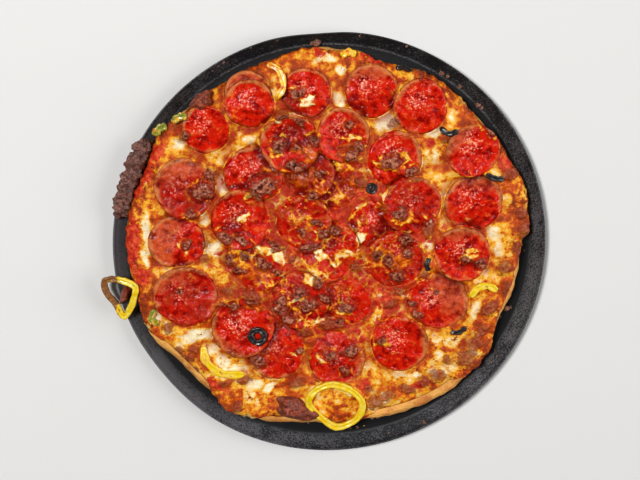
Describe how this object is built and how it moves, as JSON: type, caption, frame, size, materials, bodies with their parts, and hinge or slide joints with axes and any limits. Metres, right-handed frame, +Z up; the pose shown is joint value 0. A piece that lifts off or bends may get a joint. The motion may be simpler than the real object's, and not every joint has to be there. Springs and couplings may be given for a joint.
{
  "type": "pizza in its round pan",
  "caption": "Thick baked pepperoni pizza with browned cheese, banana pepper rings and black olives, in a shallow round black metal pan.",
  "frame": {"origin": "middle of the pan's flat underside, on the surface it stands on", "axes": "+X to the right and +Y to the back as the pizza is looked down on in the picture, +Z up"},
  "size_m": [0.3127, 0.3037, 0.0256],
  "materials": {
    "pan_black": "satin black, lightly speckled with baked-on grease",
    "crust": "baked golden dough, matt and floury",
    "cheese": "melted cheese, cream to orange with brown blisters, oily",
    "pepperoni": "oily red, darker and dry tan at the edges",
    "banana_pepper": "bright yellow, wet",
    "green_pepper": "yellow green, wet",
    "black_olive": "black, wet",
    "burnt_cheese": "crumbly burnt brown",
    "browned_meat": "red brown, greasy"
  },
  "bodies": {
    "root": {"banana_pepper_arc_left": "banana_pepper", "banana_pepper_arc_right": "banana_pepper", "banana_pepper_bit_back": "banana_pepper", "banana_pepper_ring_front": "banana_pepper", "banana_pepper_ring_over_rim": "banana_pepper", "banana_pepper_strip_back": "banana_pepper", "black_olive_back": "black_olive", "black_olive_front_right": "black_olive", "black_olive_middle_right": "black_olive", "black_olive_right": "black_olive", "black_olive_right_back": "black_olive", "black_olive_ring_left": "black_olive", "black_olive_ring_middle": "black_olive", "browned_meat_front": "browned_meat", "browned_meat_left_back": "browned_meat", "burnt_cheese_ridge": "burnt_cheese", "cheese": "cheese", "crust": "crust", "green_pepper_left": "green_pepper", "green_pepper_left_back": "green_pepper", "green_pepper_left_back_upper": "green_pepper", "pan": "pan_black", "pepperoni_01": "pepperoni", "pepperoni_02": "pepperoni", "pepperoni_03": "pepperoni", "pepperoni_04": "pepperoni", "pepperoni_05": "pepperoni", "pepperoni_06": "pepperoni", "pepperoni_07": "pepperoni", "pepperoni_08": "pepperoni", "pepperoni_09": "pepperoni", "pepperoni_10": "pepperoni", "pepperoni_11": "pepperoni", "pepperoni_12": "pepperoni", "pepperoni_13": "pepperoni", "pepperoni_14": "pepperoni", "pepperoni_15": "pepperoni", "pepperoni_16": "pepperoni", "pepperoni_17": "pepperoni", "pepperoni_18": "pepperoni", "pepperoni_19": "pepperoni", "pepperoni_20": "pepperoni", "pepperoni_21": "pepperoni", "pepperoni_22": "pepperoni", "pepperoni_23": "pepperoni", "pepperoni_24": "pepperoni", "pepperoni_25": "pepperoni", "pepperoni_26": "pepperoni", "pepperoni_27": "pepperoni", "pepperoni_28": "pepperoni", "pepperoni_29": "pepperoni", "pepperoni_30": "pepperoni", "pepperoni_31": "pepperoni", "pepperoni_32": "pepperoni"}
  },
  "joints": []
}
